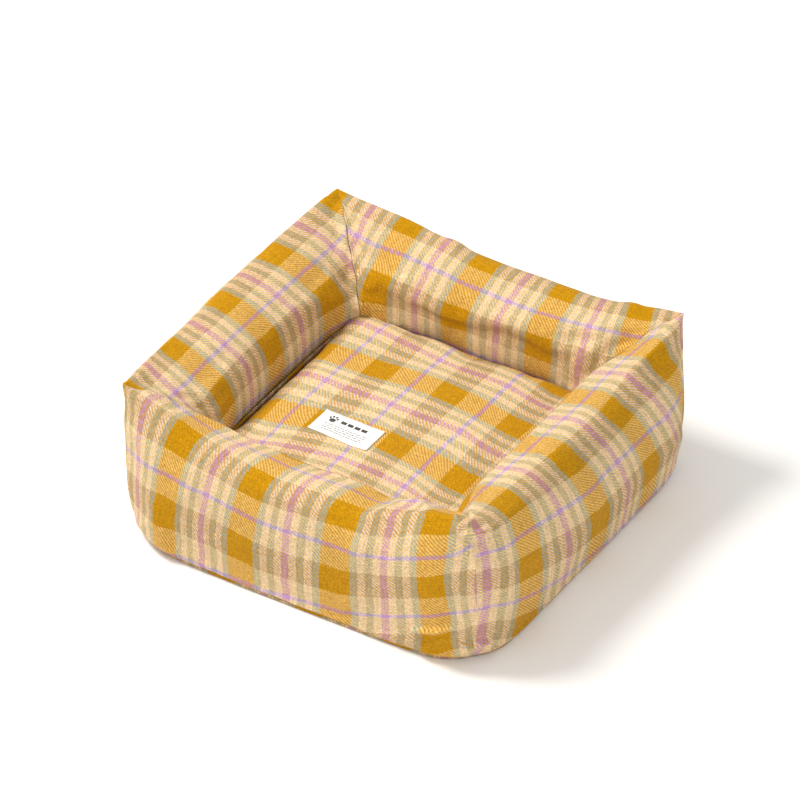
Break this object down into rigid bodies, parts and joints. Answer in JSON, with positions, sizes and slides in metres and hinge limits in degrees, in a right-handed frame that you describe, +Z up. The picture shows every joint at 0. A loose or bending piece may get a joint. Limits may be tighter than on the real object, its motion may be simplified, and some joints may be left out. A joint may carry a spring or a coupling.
{
  "type": "pet cushion bed",
  "caption": "Square plaid pet bed with plump bolster walls mitred at pinched corners and a loose zipped cushion that lifts out.",
  "frame": {"origin": "on the floor below the middle of the bed's bounding box", "axes": "+Z up, +X along the front wall to the right, +Y from the front wall to the back wall"},
  "size_m": [0.478, 0.462, 0.192],
  "materials": {
    "plaid_twill": "brushed wool-like twill in a mustard, cream, sage and lavender check",
    "lining_cloth": "plain woven cotton",
    "fibre_filling": "loose polyester fibre",
    "non_slip_cloth": "plain weave with raised grip dots",
    "sewing_thread": "spun polyester thread",
    "zip_tape": "herringbone woven tape",
    "zip_coil": "moulded nylon coil",
    "zip_metal": "nickel-plated die casting",
    "label_satin": "woven satin label"
  },
  "bodies": {
    "nest": {"front_wall_cover": "plaid_twill", "front_wall_fill": "fibre_filling", "back_wall_cover": "plaid_twill", "back_wall_fill": "fibre_filling", "left_wall_cover": "plaid_twill", "left_wall_fill": "fibre_filling", "right_wall_cover": "plaid_twill", "right_wall_fill": "fibre_filling", "corner_seam_front_left": "sewing_thread", "corner_seam_front_right": "sewing_thread", "corner_seam_back_left": "sewing_thread", "corner_seam_back_right": "sewing_thread", "base_cloth": "non_slip_cloth", "base_binding": "plaid_twill", "base_wadding": "fibre_filling", "floor_lining": "lining_cloth", "lining_upstand": "plaid_twill"},
    "cushion": {"cushion_top_cover": "plaid_twill", "cushion_bottom_cover": "plaid_twill", "cushion_fill": "fibre_filling", "zip_tape_upper": "zip_tape", "zip_tape_lower": "zip_tape", "zip_coil": "zip_coil", "zip_end_stops": "zip_metal", "label": "label_satin", "label_stitches": "sewing_thread"},
    "zip_slider": {"zip_slider": "zip_metal"},
    "zip_pull": {"zip_pull": "zip_metal"}
  },
  "joints": [
    {"name": "cushion_lift", "type": "slide", "parent": "nest", "child": "cushion", "axis": [0, 0, 1], "range_m": [0, 0.2]},
    {"name": "zip_run", "type": "slide", "parent": "cushion", "child": "zip_slider", "axis": [-1, 0, 0], "range_m": [0, 0.2466]},
    {"name": "pull_swing", "type": "hinge", "parent": "zip_slider", "child": "zip_pull", "pos_m": [0.1262, 0.1392, 0.056], "axis": [0, 1, 0], "range_deg": [-45, 45]}
  ]
}
